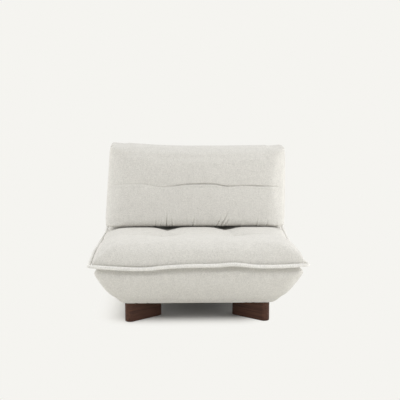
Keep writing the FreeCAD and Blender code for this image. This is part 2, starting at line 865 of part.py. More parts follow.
def link_plate():
    """Flat steel bar with round ends, hung on its pivot under the right side and stowed rearward."""
    r = link_plate_width / 2
    far_y = link_pivot_y + link_reach
    ends = [post(link_x, y, link_plate_bottom, link_plate_top, 2 * r) for y in (link_pivot_y, far_y)]
    bar = box(link_x - r, link_x + r, link_pivot_y, far_y, link_plate_bottom, link_plate_top)
    plate = fused([bar] + ends)
    pivot_d = link_pivot_d + 2 * link_running_gap
    plate = plate.cut(post(link_x, link_pivot_y, link_plate_bottom, link_plate_top, pivot_d))
    return plate.cut(post(link_x, far_y, link_plate_bottom, link_plate_top, link_hole_d))


def link_pivot_bolt():
    """Shoulder bolt: thread up in the rail, shoulder through the plate, flat head below it."""
    x, y = link_x, link_pivot_y
    shoulder_bottom = link_plate_bottom - fit_gap
    thread = post(x, y, floor_gap, floor_gap + link_thread_length, link_thread_d)
    shoulder = post(x, y, shoulder_bottom, floor_gap, link_pivot_d)
    head = post(x, y, shoulder_bottom - link_head_t, shoulder_bottom, link_head_d)
    return fused([thread, shoulder, head])


def link_spacer():
    """Washer between the plate and the bottom panel."""
    x, y = link_x, link_pivot_y
    z = (link_plate_top + fit_gap, floor_gap)
    return post(x, y, *z, link_spacer_d).cut(post(x, y, *z, link_pivot_d + 2 * fit_gap))


def link_stud():
    """Stud that takes the hole of the next chair's plate: shank up in the rail, collar, pin below."""
    x, y = link_x, -link_pivot_y
    collar_bottom = link_plate_top + fit_gap
    shank = post(x, y, floor_gap, floor_gap + link_stud_shank_length, link_stud_shank_d)
    collar = post(x, y, collar_bottom, floor_gap, link_stud_collar_d)
    pin = post(x, y, floor_gap - link_stud_drop, collar_bottom, link_stud_d)
    return fused([shank, collar, pin])


def make_links():
    """One plate, bolt, spacer and stud per side; the left side is the right one turned half round."""
    half_turn = Placement(Vector(0, 0, 0), Rotation(Vector(0, 0, 1), 180))

    def pair(piece):
        other = piece.copy()
        other.Placement = half_turn.multiply(other.Placement)
        return [piece, other]

    right, left = pair(link_plate())
    save("link_plate_right", right)
    save("link_plate_left", left)
    save("link_pivot_bolts", group(pair(link_pivot_bolt())))
    save("link_spacers", group(pair(link_spacer())))
    save("link_studs", group(pair(link_stud())))


os.makedirs("parts", exist_ok=True)
make_frame()
make_springs()
make_legs()
make_sockets()
make_seat_soft_pieces()
make_back_frame()
make_tongues()
make_back_soft_pieces()
make_links()
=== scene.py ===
import math

import bmesh
import bpy
import numpy as np
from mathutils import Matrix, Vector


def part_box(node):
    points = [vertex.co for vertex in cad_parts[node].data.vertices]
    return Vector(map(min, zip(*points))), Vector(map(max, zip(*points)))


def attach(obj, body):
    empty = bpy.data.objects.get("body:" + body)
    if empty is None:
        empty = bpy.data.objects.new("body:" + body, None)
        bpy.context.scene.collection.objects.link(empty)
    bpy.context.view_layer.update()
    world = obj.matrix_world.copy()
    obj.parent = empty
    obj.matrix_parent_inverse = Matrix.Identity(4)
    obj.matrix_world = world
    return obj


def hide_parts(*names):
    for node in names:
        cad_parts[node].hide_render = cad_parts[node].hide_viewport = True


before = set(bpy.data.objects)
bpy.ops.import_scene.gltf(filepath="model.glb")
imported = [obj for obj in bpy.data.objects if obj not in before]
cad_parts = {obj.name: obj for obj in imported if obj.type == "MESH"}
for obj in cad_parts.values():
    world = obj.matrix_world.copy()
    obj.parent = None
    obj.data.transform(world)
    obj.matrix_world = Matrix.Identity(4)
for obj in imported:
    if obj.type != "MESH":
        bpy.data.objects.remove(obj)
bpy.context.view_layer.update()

# Timber carcass inside the seat and the back.
# Kiln-dried softwood rails, stiles and blocks, glued and screwed, on a dark stained plywood bottom board.
# None of it shows on the finished chair except the board from below.


def add(tree, kind, settings=None, **inputs):
    """Adds one node; an input given as a socket is linked, any other value is set."""
    made = tree.nodes.new(kind)
    for key, value in (settings or {}).items():
        setattr(made, key, value)
    for key, value in inputs.items():
        socket = made.inputs[key.replace("_", " ")]
        if isinstance(value, bpy.types.NodeSocket):
            tree.links.new(value, socket)
        else:
            socket.default_value = value
    return made


def mixed(tree, kind, share, first, second):
    """Colour made from two colours in one of Blender's mixing ways."""
    mix = add(tree, "ShaderNodeMix", {"data_type": "RGBA", "blend_type": kind})
    share_socket, first_socket, second_socket = 0, 6, 7
    for index, value in ((share_socket, share), (first_socket, first), (second_socket, second)):
        if isinstance(value, bpy.types.NodeSocket):
            tree.links.new(value, mix.inputs[index])
        else:
            mix.inputs[index].default_value = value
    colour_output = 2
    return mix.outputs[colour_output]


def remapped(tree, value, low, high):
    """A 0 to 1 pattern stretched between two values."""
    return add(tree, "ShaderNodeMapRange", Value=value, To_Min=low, To_Max=high).outputs["Result"]


def blank_finish(name):
    """New material, its tree, its shader and the object coordinates that patterns hang on."""
    material = bpy.data.materials.new(name)
    material.use_nodes = True
    tree = material.node_tree
    place = add(tree, "ShaderNodeTexCoord").outputs["Object"]
    return material, tree, tree.nodes["Principled BSDF"], place


def bumped(tree, shader, height, strength, distance):
    """Turns a height pattern into relief on the shader."""
    bump = add(tree, "ShaderNodeBump", Height=height, Strength=strength, Distance=distance)
    tree.links.new(bump.outputs["Normal"], shader.inputs["Normal"])


def timber(name, pale, dark, grain, turn=0.0, roughness=0.55, relief=0.25):
    """Wood whose grain runs along its own turned X axis; grain is one figure's size each way."""
    material, tree, shader, place = blank_finish(name)
    turned = {"vector_type": "TEXTURE"}
    long_way = add(tree, "ShaderNodeMapping", turned, Vector=place, Rotation=(0, 0, turn), Scale=grain)
    figure = add(
        tree, "ShaderNodeTexNoise", Vector=long_way.outputs[0], Scale=1.0, Detail=7.0, Roughness=0.62,
        Distortion=0.9,
    )
    pore_share = (0.16, 0.09, 0.09)
    pore_size = tuple(size * share for size, share in zip(grain, pore_share))
    pore_way = add(tree, "ShaderNodeMapping", turned, Vector=place, Rotation=(0, 0, turn), Scale=pore_size)
    pores = add(tree, "ShaderNodeTexNoise", Vector=pore_way.outputs[0], Scale=1.0, Detail=3.0)
    ramp = add(tree, "ShaderNodeValToRGB", Fac=figure.outputs[0])
    for stop, position, tone in zip(ramp.color_ramp.elements, (0.3, 0.7), (dark, pale)):
        stop.position = position
        stop.color = (*tone, 1)
    shade = remapped(tree, pores.outputs[0], 0.72, 1.18)
    colour = mixed(tree, "MULTIPLY", 1.0, ramp.outputs["Color"], shade)
    tree.links.new(colour, shader.inputs["Base Color"])
    gloss = remapped(tree, figure.outputs[0], roughness - 0.08, roughness + 0.1)
    tree.links.new(gloss, shader.inputs["Roughness"])
    bumped(tree, shader, pores.outputs[0], strength=relief, distance=0.0004)
    return material


def dress(material, *names):
    """Gives CAD nodes their finish."""
    for name in names:
        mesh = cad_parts[name].data
        mesh.materials.clear()
        mesh.materials.append(material)


pine_pale = (0.62, 0.44, 0.26)
pine_dark = (0.47, 0.29, 0.14)
pine_grain = (0.5, 0.014, 0.014)
quarter_turn = math.pi / 2
dress(
    timber("pine_across", pine_pale, pine_dark, pine_grain),
    "front_rail", "rear_rail", "corner_blocks", "back_top_rail", "back_bottom_rail",
)
dress(
    timber("pine_along", pine_pale, pine_dark, pine_grain, quarter_turn),
    "side_rail_left", "side_rail_right", "centre_rail",
)
upright_grain = (0.014, 0.014, 0.5)
dress(timber("pine_upright", pine_pale, pine_dark, upright_grain), "back_stile_left", "back_stile_right")
board_pale = (0.055, 0.045, 0.038)
board_dark = (0.03, 0.024, 0.02)
board_grain = (0.4, 0.02, 0.0013)
dress(timber("stained_board", board_pale, board_dark, board_grain, roughness=0.6), "bottom_panel")

# Springs, clips, sockets and fixings of the seat.
# Sinuous springs of oil-tempered wire in bent clips, pressed steel sockets and zinc plated screws and bolts.
# The brass sleeves are screwed into the tops of the legs.


def metal(name, colour, roughness, mottle, streak=(0.02, 0.02, 0.02), wear=0.12):
    """Metal with cloudy plating, fine streaks and slightly uneven gloss."""
    material, tree, shader, place = blank_finish(name)
    cloud = add(tree, "ShaderNodeTexNoise", Vector=place, Scale=mottle, Detail=4.0)
    along = add(tree, "ShaderNodeMapping", {"vector_type": "TEXTURE"}, Vector=place, Scale=streak)
    lines = add(tree, "ShaderNodeTexNoise", Vector=along.outputs[0], Scale=1.0, Detail=5.0)
    shade = remapped(tree, cloud.outputs[0], 1 - wear, 1 + wear)
    tree.links.new(mixed(tree, "MULTIPLY", 1.0, (*colour, 1), shade), shader.inputs["Base Color"])
    gloss = remapped(tree, lines.outputs[0], roughness - 0.1, roughness + 0.12)
    tree.links.new(gloss, shader.inputs["Roughness"])
    bumped(tree, shader, lines.outputs[0], strength=0.12, distance=0.0003)
    shader.inputs["Metallic"].default_value = 1.0
    return material


dress(metal("tempered_wire", (0.2, 0.19, 0.2), roughness=0.38, mottle=60.0), "seat_springs")
zinc = metal("zinc_plate", (0.66, 0.67, 0.7), roughness=0.34, mottle=140.0)
zinc_nodes = ["spring_clips", "leg_bolts", "leg_washers", "socket_screws", "tongue_screws", "link_spacers"]
dress(zinc, *zinc_nodes, "link_pivot_bolts", "link_studs")
turning_marks = (0.1, 0.1, 0.0006)
dress(
    metal("turned_brass", (0.78, 0.56, 0.24), roughness=0.32, mottle=90.0, streak=turning_marks),
    "leg_inserts",
)
dress(
    metal("blackened_steel", (0.07, 0.07, 0.075), roughness=0.46, mottle=50.0),
    "back_socket_left", "back_socket_right",
)

# Pad over the springs and foam core of the seat.
# Needled grey felt keeps the wire from the foam; the core is one block of polyurethane foam.


def felt(name, pale, dark, fibre):
    """Matted fibres: two tangled noises for colour and nap."""
    material, tree, shader, place = blank_finish(name)
    tangle = add(
        tree, "ShaderNodeTexNoise", Vector=place, Scale=fibre, Detail=8.0, Roughness=0.75, Distortion=1.6
    )
    cloud = add(tree, "ShaderNodeTexNoise", Vector=place, Scale=fibre * 0.1, Detail=3.0)
    colour = mixed(tree, "MIX", tangle.outputs[0], (*dark, 1), (*pale, 1))
    shade = remapped(tree, cloud.outputs[0], 0.86, 1.12)
    tree.links.new(mixed(tree, "MULTIPLY", 1.0, colour, shade), shader.inputs["Base Color"])
    shader.inputs["Roughness"].default_value = 0.95
    shader.inputs["Specular IOR Level"].default_value = 0.15
    shader.inputs["Sheen Weight"].default_value = 0.3
    bumped(tree, shader, tangle.outputs[0], strength=0.5, distance=0.0006)
    return material


dress(felt("needled_pad", (0.36, 0.36, 0.35), (0.22, 0.22, 0.22), fibre=420.0), "spring_pad")
dress(felt("block_foam", (0.82, 0.76, 0.56), (0.66, 0.6, 0.42), fibre=700.0), "seat_foam_core")

# Plank legs and their glides.
# Four upright walnut planks with round ends, stained dark and oiled, bolted under the corners at an angle.
# Round felt glides are glued under each end.

leg_turn = math.radians(40)
walnut_pale = (0.105, 0.046, 0.029)
walnut_dark = (0.036, 0.0145, 0.009)
walnut_grain = (0.22, 0.02, 0.0085)
leg_turns = {
    "leg_front_left": leg_turn,
    "leg_front_right": -leg_turn,
    "leg_rear_left": -leg_turn,
    "leg_rear_right": leg_turn,
}
for leg, turn in leg_turns.items():
    oiled = timber(
        "walnut_" + leg, walnut_pale, walnut_dark, walnut_grain, turn, roughness=0.5, relief=0.35
    )
    oiled.node_tree.nodes["Principled BSDF"].inputs["Specular IOR Level"].default_value = 0.22
    dress(oiled, leg)
dress(felt("glide_felt", (0.16, 0.15, 0.14), (0.07, 0.065, 0.06), fibre=700.0), "felt_glides")

# Base of the seat: a ring of foam round the carcass under one taut cover.
# The cover is sewn to the piping above, drawn down over the foam and stapled under the bottom board.
# Chenille: thick fuzzy yarn in a plain weave, pale grey-beige.


def through(places, values, at):
    """Smooth curve through a few points, with the ends held level beyond them."""
    places = np.asarray(places, float)
    values = np.asarray(values, float)
    slopes = np.gradient(values, places)
    at = np.clip(at, places[0], places[-1])
    i = np.clip(np.searchsorted(places, at) - 1, 0, len(places) - 2)
    span = places[i + 1] - places[i]
    t = (at - places[i]) / span
    rise = values[i + 1] - values[i]
    return (
        values[i]
        + t * span * slopes[i]
        + t**2 * (3 * rise - span * (2 * slopes[i] + slopes[i + 1]))
        + t**3 * (span * (slopes[i] + slopes[i + 1]) - 2 * rise)
    )


def swell(t):
    """Soft step from 0 to 1."""
    t = np.clip(t, 0, 1)
    return t * t * (3 - 2 * t)


piping_low, piping_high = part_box("seat_piping")
piping_r = (piping_high.z - piping_low.z) / 2
seam_z = (piping_low.z + piping_high.z) / 2
seam_half_x = piping_high.x - piping_r
seam_half_y = piping_high.y - piping_r
front_wave_x = (-0.5, -0.37, -0.25, -0.14, -0.02, 0.09, 0.165, 0.275, 0.39, 0.505)
front_wave_rise = (0.004, -0.006, -0.010, -0.001, 0.004, 0.005, 0.010, 0.0, 0.0, 0.006)
left_wave_y = (-0.5, -0.40, -0.26, -0.10, 0.10, 0.30, 0.5)
left_wave_rise = (0.004, 0.010, 0.008, 0.001, -0.006, -0.007, 0.0)
right_wave_y = (-0.5, -0.35, -0.15, 0.05, 0.25, 0.5)
right_wave_rise = (0.006, -0.002, -0.006, -0.003, -0.007, 0.0)
rear_wave_x = (-0.5, -0.33, -0.12, 0.10, 0.30, 0.5)
rear_wave_rise = (0.0, -0.006, 0.004, -0.005, 0.004, 0.0)


def seam_wave(x, y):
    """Rise and fall of the sewn seam, each side's own line, easing into the next at the corners."""
    blend_out = 0.03
    sides = (
        (seam_half_y + y, through(front_wave_x, front_wave_rise, x)),
        (seam_half_y - y, through(rear_wave_x, rear_wave_rise, x)),
        (seam_half_x + x, through(left_wave_y, left_wave_rise, y)),
        (seam_half_x - x, through(right_wave_y, right_wave_rise, y)),
    )
    weights = [1 / (np.maximum(away, 0) + blend_out) ** 3 for away, rise in sides]
    return sum(w * rise for w, (away, rise) in zip(weights, sides)) / sum(weights)


draw_power = 6
draw_y = (-0.5, -0.4, -0.3, -0.2, -0.1, 0.0, 0.1, 0.2, 0.3, 0.4, 0.5)
left_draw = (0.006, 0.005, 0.0, -0.005, -0.004, -0.002, 0.001, 0.006, 0.015, 0.019, 0.019)
right_draw = (0.0, 0.006, 0.010, 0.010, 0.009, 0.008, 0.008, 0.008, 0.007, 0.006, 0.005)


def side_draw(x, y):
    """How far the soft sides are drawn in, each its own way, most at the seam."""
    inward = np.where(x < 0, through(draw_y, left_draw, y), -through(draw_y, right_draw, y))
    return inward * np.clip(np.abs(x) / seam_half_x, 0, 1) ** draw_power


def round_place(x, y):
    """How far round the seat a point lies, in metres along the seam; the sides count as 8 halves."""
    s, t = x / seam_half_x, y / seam_half_y
    on_side = np.abs(s) >= np.abs(t)
    reach = np.maximum(np.maximum(np.abs(s), np.abs(t)), 1e-9)
    side = np.where(s > 0, t / reach, 4 - t / reach)
    end = np.where(t > 0, 2 - s / reach, 6 + s / reach)
    return np.where(on_side, side, end) % 8 * (seam_half_x + seam_half_y) / 2


def puckers(along, length, spacing, width, seed):
    """Small uneven gathers that thread tension leaves along a seam: 0 is flat, about 1 the deepest."""
    draw = np.random.RandomState(seed)
    count = int(length / spacing)
    places = (np.arange(count) + draw.uniform(-0.4, 0.4, count)) * length / count
    depths = draw.uniform(0.15, 1.0, count) ** 1.5
    widths = width * draw.uniform(0.6, 1.5, count)
    total = np.zeros(len(along))
    for place, depth, wide in zip(places, depths, widths):
        off = (along - place + length / 2) % length - length / 2
        total += depth * np.exp(-((off / wide) ** 2))
    return total


seam_length = 4 * (seam_half_x + seam_half_y)


def rounded_outline(half_x, half_y, corner, draw_x, draw_y, side_count, corner_count):
    """Points round a rectangle with round corners and sides drawn in at the middle."""
    turns = np.linspace(0, quarter_turn, corner_count, endpoint=False)
    runs = np.linspace(-1, 1, side_count, endpoint=False)
    straight_x = half_x - corner
    straight_y = half_y - corner
    points = []
    for k in range(4):
        along_y = k % 2 == 0
        reach, span, draw = (half_x, straight_y, draw_x) if along_y else (half_y, straight_x, draw_y)
        cross = straight_x if along_y else straight_y
        a = k * quarter_turn
        out = np.array([math.cos(a), math.sin(a)])
        ahead = np.array([-math.sin(a), math.cos(a)])
        pulled = (reach - draw * (1 - runs**2))[:, None] * out + (runs * span)[:, None] * ahead
        bend = np.cos(turns)[:, None] * out + np.sin(turns)[:, None] * ahead
        points += [pulled, cross * out + span * ahead + corner * bend]
    return np.concatenate(points)


def new_piece(name, points, faces):
    """Mesh object at the origin, in the frame's own metres, with its faces pointing outwards."""
    mesh = bpy.data.meshes.new(name)
    mesh.from_pydata([tuple(map(float, p)) for p in points], [], faces)
    work = bmesh.new()
    work.from_mesh(mesh)
    bmesh.ops.recalc_face_normals(work, faces=work.faces)
    work.to_mesh(mesh)
    work.free()
    mesh.shade_smooth()
    piece = bpy.data.objects.new(name, mesh)
    bpy.context.scene.collection.objects.link(piece)
    return piece


def corners_of(piece):
    """Vertex places of a piece as one array."""
    places = np.zeros(len(piece.data.vertices) * 3)
    piece.data.vertices.foreach_get("co", places)
    return places.reshape(-1, 3)


def move_corners(piece, places):
    """Puts a piece's vertices at new places."""
    piece.data.vertices.foreach_set("co", np.asarray(places, np.float32).ravel())
    piece.data.update()


def facing(piece):
    """Vertex normals of a piece as one array."""
    return np.array([v.vector for v in piece.data.vertex_normals])


def baked(piece):
    """Applies every modifier on a piece."""
    graph = bpy.context.evaluated_depsgraph_get()
    mesh = bpy.data.meshes.new_from_object(piece.evaluated_get(graph))
    piece.modifiers.clear()
    piece.data = mesh
    mesh.shade_smooth()


def subdivided(piece):
    """One round of subdivision, applied."""
    smooth = piece.modifiers.new("smooth", "SUBSURF")
    smooth.levels = 1
    smooth.render_levels = 1
    baked(piece)


def inflate(piece, held, pressure, slack, reach, last_frame=20):
    """Cloth under inner pressure, sewn down where held is 1, each point moving reach at most."""
    before = corners_of(piece)
    pins = piece.vertex_groups.new(name="sewn")
    for level in np.unique(np.round(held, 2)):
        if level > 0:
            pins.add([int(i) for i in np.flatnonzero(np.round(held, 2) == level)], float(level), "REPLACE")
    cloth = piece.modifiers.new("fill", "CLOTH")
    rules = cloth.settings
    rules.quality = 6
    rules.mass = 0.3
    rules.tension_stiffness = 18
    rules.compression_stiffness = 18
    rules.shear_stiffness = 9
    rules.bending_stiffness = 0.6
    rules.air_damping = 2.0
    rules.use_pressure = True
    rules.uniform_pressure_force = pressure
    rules.shrink_min = -slack
    rules.vertex_group_mass = "sewn"
    rules.effector_weights.gravity = 0
    cloth.collision_settings.use_collision = False
    cloth.point_cache.frame_start = 1
    cloth.point_cache.frame_end = last_frame
    for step in range(1, last_frame + 1):
        bpy.context.scene.frame_set(step)
    baked(piece)
    bpy.context.scene.frame_set(1)
    piece.vertex_groups.clear()
    moved = corners_of(piece) - before
    length = np.linalg.norm(moved, axis=1, keepdims=True)
    kept = reach * np.tanh(length / reach) / np.maximum(length, 1e-9)
    move_corners(piece, before + moved * kept)


def chenille(name, tone):
    """Fuzzy yarn in a plain weave: slubs both ways of the cloth, nubs with painted shade in the gaps between
    them, soft mottling and a pale nap.
    """
    material, tree, shader, place = blank_finish(name)
    cloud = add(tree, "ShaderNodeTexNoise", Vector=place, Scale=26.0, Detail=4.0, Roughness=0.6)
    speck = add(tree, "ShaderNodeTexNoise", Vector=place, Scale=230.0, Detail=3.0, Roughness=0.7)
    nubs = add(tree, "ShaderNodeTexVoronoi", {"feature": "F1"}, Vector=place, Scale=330.0)
    colour = mixed(tree, "MULTIPLY", 1.0, (*tone, 1), remapped(tree, cloud.outputs[0], 0.94, 1.05))
    colour = mixed(tree, "MULTIPLY", 1.0, colour, remapped(tree, speck.outputs[0], 0.80, 1.18))
    # Painted shade: the cloth is darker in the gaps between the nubs, where the bump below is lowest.
    colour = mixed(tree, "MULTIPLY", 1.0, colour, remapped(tree, nubs.outputs["Distance"], 1.07, 0.82))
    height = remapped(tree, nubs.outputs["Distance"], 1.0, 0.2)
    thread_runs = (
        ((0.0026, 0.012, 0.034), 0.15),
        ((0.012, 0.0026, 0.034), 0.09),
        ((0.02, 0.02, 0.0022), 0.13),
    )
    for run, depth in thread_runs:
        way = add(tree, "ShaderNodeMapping", {"vector_type": "TEXTURE"}, Vector=place, Scale=run)
        slubs = add(tree, "ShaderNodeTexNoise", Vector=way.outputs[0], Scale=1.0, Detail=3.0, Roughness=0.65)
        colour = mixed(tree, "MULTIPLY", 1.0, colour, remapped(tree, slubs.outputs[0], 1 - depth, 1 + depth))
        raised = add(tree, "ShaderNodeMath", {"operation": "ADD"})
        tree.links.new(height, raised.inputs[0])
        tree.links.new(slubs.outputs[0], raised.inputs[1])
        height = raised.outputs[0]
    tree.links.new(colour, shader.inputs["Base Color"])
    shader.inputs["Roughness"].default_value = 0.95
    shader.inputs["Specular IOR Level"].default_value = 0.12
    shader.inputs["Sheen Weight"].default_value = 0.2
    shader.inputs["Sheen Roughness"].default_value = 0.6
    bumped(tree, shader, height, strength=0.4, distance=0.0012)
    return material


cloth_tone = (0.70, 0.685, 0.646)
base_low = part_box("base_cover")[0]
carcass_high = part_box("bottom_panel")[1]
carcass_gap = 0.0006
carcass_x = carcass_high.x + carcass_gap
carcass_y = carcass_high.y + carcass_gap
hull_rise = (0.0, 0.055, 0.133, 0.173, 0.211)
hull_half_x = (0.378, 0.4285, 0.4785, 0.499, 0.497)
hull_half_y = (0.380, 0.421, 0.4645, 0.483, 0.481)
hull_off_x = 0.005
hull_corner = (0.044, 0.050, 0.042, 0.032, 0.022)
hull_draw_x = (0.0, 0.0, 0.0, 0.006, 0.012)
hull_draw_y = (0.0, 0.0, 0.0, 0.004, 0.007)
hull_sides = 108
hull_corners = 9
hull_rows = 26
hem_r = 0.009
recess_depth = 0.024
recess_rise = 0.194
recess_width = 0.012


def hull_row(rise, inset):
    """One level line of the base's outside, set in where it turns the hem and below the piping."""
    inset += recess_depth * math.exp(-(((rise - recess_rise) / recess_width) ** 2))
    sizes = [through(hull_rise, line, rise) - inset for line in (hull_half_x, hull_half_y, hull_corner)]
    draws = [through(hull_rise, line, rise) for line in (hull_draw_x, hull_draw_y)]
    row = rounded_outline(*sizes, *draws, hull_sides, hull_corners)
    near_seam = swell(rise / hull_rise[-1] * 2 - 1)
    z = base_low.z + rise + seam_wave(row[:, 0], row[:, 1]) * near_seam
    x = row[:, 0] + hull_off_x + side_draw(row[:, 0], row[:, 1]) * near_seam
    return np.column_stack([x, row[:, 1], z])


def carcass_row(z):
    """Level line round the carcass, inside the foam."""
    corner = 0.004
    row = rounded_outline(carcass_x, carcass_y, corner, 0, 0, hull_sides, hull_corners)
    return np.column_stack([row, np.full(len(row), z)])


hem_steps = 4
board_gap = 0.0005
below_seam = 0.004
rows = [carcass_row(base_low.z + board_gap)]
for turn in np.linspace(0, quarter_turn, hem_steps):
    rows.append(hull_row(hem_r * (1 - math.cos(turn)), hem_r * (1 - math.sin(turn))))
for rise in np.linspace(hem_r, hull_rise[-1], hull_rows)[1:]:
    rows.append(hull_row(rise, 0))
recess_rows = 3
held_from = len(rows) - recess_rows
seam_row = rows[-1]
top_row = carcass_row(seam_z - below_seam)
for share in (0.08, 0.4, 0.75):
    rows.append(seam_row + (top_row - seam_row) * share - [0, 0, below_seam])
rows.append(top_row)
rows.append(carcass_row((base_low.z + seam_z) / 2))
ring = len(rows[0])


def ring_face(i, j):
    """Face between level line i and the next; the last line joins the first."""
    this_line, next_line, beside = i * ring, (i + 1) % len(rows) * ring, (j + 1) % ring
    return this_line + j, this_line + beside, next_line + beside, next_line + j


base_faces = [ring_face(i, j) for i in range(len(rows)) for j in range(ring)]
base_piece = new_piece("base_upholstery", np.concatenate(rows), base_faces)
row_held = np.ones(len(rows))
stapled_rows = 6
row_held[stapled_rows:held_from] = 0.0
inflate(base_piece, np.repeat(row_held, ring), pressure=2.0, slack=0.012, reach=0.006)
subdivided(base_piece)
base_corners = corners_of(base_piece)
base_place = round_place(base_corners[:, 0], base_corners[:, 1])
under_seam = np.maximum(seam_z - base_corners[:, 2], 0)
over_hem = np.maximum(base_corners[:, 2] - base_low.z, 0)
beside_carcass = 0.008
seam_tuck, seam_tuck_reach = 0.0016, 0.035
hem_tuck, hem_tuck_reach = 0.0018, 0.022
past_carcass = np.maximum(np.abs(base_corners[:, 0]) - carcass_x, np.abs(base_corners[:, 1]) - carcass_y)
outside = past_carcass > beside_carcass
at_seam = puckers(base_place, seam_length, spacing=0.05, width=0.006, seed=11)
at_hem = puckers(base_place, seam_length, spacing=0.07, width=0.007, seed=12)
tucks = seam_tuck * at_seam * np.exp(-under_seam / seam_tuck_reach)
tucks += hem_tuck * at_hem * np.exp(-over_hem / hem_tuck_reach)
base_corners -= facing(base_piece) * (tucks * outside)[:, None]
move_corners(base_piece, base_corners)
base_piece.data.materials.clear()
base_piece.data.materials.append(chenille("base_chenille", cloth_tone))
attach(base_piece, "seat")
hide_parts("base_cover", "base_foam")

# Seat cushion: the puffed top half of the seat.
# A sewn case filled with fibre over the foam core, closed to the piping along its rim and pulled down by a
# row of two tufts, with a shallow dip running back from each; two slits let the back's tongues through.

rim_inset = 0.0098
seat_half_x = seam_half_x - rim_inset
seat_half_y = seam_half_y - rim_inset
seat_draw_x = 0.012
seat_draw_y = 0.007
seat_corner_cut = 0.0065
corner_power = 26
seat_cell = 0.0105
seat_rim = 0.004
crown_y = (-0.42, -0.34, -0.22, -0.084, 0.03, 0.12, 0.30)
crown_height = (0.094, 0.095, 0.085, 0.068, 0.068, 0.0665, 0.066)
front_roll, front_power = 0.115, 2.9
rear_roll, rear_power = 0.19, 2.2
left_roll, left_power = 0.135, 1.8
right_roll, right_power = 0.118, 2.2
tuft_x = (-0.166, 0.196)
rear_dip_x = (-0.146, 0.160)
tuft_y = -0.084
dip_y = (-0.36, -0.26, -0.16, -0.084, -0.02, 0.06, 0.12, 0.19, 0.31)
dip_depth = (0.0, 0.002, 0.010, 0.024, 0.013, 0.011, 0.016, 0.020, 0.006)
dip_width = 0.055
dip_turn = 0.2
tongue_low, tongue_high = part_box("back_tongue_right")
slit_gap = 0.003
slit_x = (tongue_low.x - slit_gap, tongue_high.x + slit_gap)
tongue_t = 0.006
slit_y = (tongue_low.y - slit_gap, tongue_low.y + tongue_t + slit_gap)


def grid_lines(half, cell, stops):
    """Evenly spaced lines from -half to half that also pass through the stops."""
    marks = [-half, *sorted(stops), half]
    spans = [np.linspace(a, b, max(2, round((b - a) / cell) + 1))[:-1] for a, b in zip(marks, marks[1:])]
    return np.concatenate([*spans, [half]])


def superellipse(distance, run, power):
    """Rounded rise from 0 at the rim to 1 at the end of its run."""
    t = 1 - np.clip(distance / run, 0, 1)
    return (1 - t**power) ** (1 / power)


def seat_plan(x, y):
    """Plan of the cushion: sides drawn in at the middle and soft corners."""
    s, t = x / seat_half_x, y / seat_half_y
    nip = seat_corner_cut * (np.abs(s) * np.abs(t)) ** corner_power
    drawn_x = seat_draw_x * (1 - t**2) * np.abs(s) ** draw_power
    drawn_y = seat_draw_y * (1 - s**2) * np.abs(t) ** draw_power
    return x - np.sign(x) * (drawn_x + nip) + side_draw(x, y), y - np.sign(y) * (drawn_y + nip)


def seat_height(x, y):
    """Height of the cushion over the seam."""
    left = superellipse(seat_half_x + x, left_roll, left_power)
    right = superellipse(seat_half_x - x, right_roll, right_power)
    front = superellipse(seat_half_y + y, front_roll, front_power)
    rear = superellipse(seat_half_y - y, rear_roll, rear_power)
    crown = through(crown_y, crown_height, y)
    rearward = swell((y - tuft_y) / dip_turn)
    lines = [at + (behind - at) * rearward for at, behind in zip(tuft_x, rear_dip_x)]
    dips = sum(np.exp(-(((x - line) / dip_width) ** 2)) for line in lines) * through(dip_y, dip_depth, y)
    return seat_rim + (crown - seat_rim - dips) * left * right * front * rear


x_lines = grid_lines(seat_half_x, seat_cell, [-slit_x[1], -slit_x[0], slit_x[0], slit_x[1]])
y_lines = grid_lines(seat_half_y, seat_cell, slit_y)
flat_x, flat_y = (a.ravel() for a in np.meshgrid(x_lines, y_lines))
plan_x, plan_y = seat_plan(flat_x, flat_y)
rim_distance = np.minimum(seat_half_x - np.abs(flat_x), seat_half_y - np.abs(flat_y))
wave_run = 0.06
wave_share = np.exp(-rim_distance / wave_run)
top_z = seam_z + seat_height(flat_x, flat_y) + seam_wave(plan_x, plan_y) * wave_share
seat_top = np.column_stack([plan_x, plan_y, top_z])
columns, lines = len(x_lines), len(y_lines)


def in_slit(i, j):
    """True for the grid cell at column i, line j where it lies in a tongue's slit."""
    x = (x_lines[i] + x_lines[i + 1]) / 2
    y = (y_lines[j] + y_lines[j + 1]) / 2
    return slit_x[0] < abs(x) < slit_x[1] and slit_y[0] < y < slit_y[1]


seat_cells = [(i, j) for j in range(lines - 1) for i in range(columns - 1)]
top_faces = [
    (j * columns + i, j * columns + i + 1, (j + 1) * columns + i + 1, (j + 1) * columns + i)
    for i, j in seat_cells
]
sheet = new_piece("seat_sheet", seat_top, top_faces)
tuft_distance = np.min([np.hypot(plan_x - at, plan_y - tuft_y) for at in tuft_x], axis=0)
tuft_hold_r = 0.014
under_back_y = 0.13
soft_hold = 0.98
seat_held = np.where(rim_distance < seat_cell / 2, 1.0, 0.0)
seat_held = np.maximum(seat_held, soft_hold * (tuft_distance < tuft_hold_r))
seat_held = np.maximum(seat_held, soft_hold * (plan_y > under_back_y))
inflate(sheet, seat_held, pressure=4.0, slack=0.02, reach=0.007)
seat_top = corners_of(sheet)
bpy.data.objects.remove(sheet)

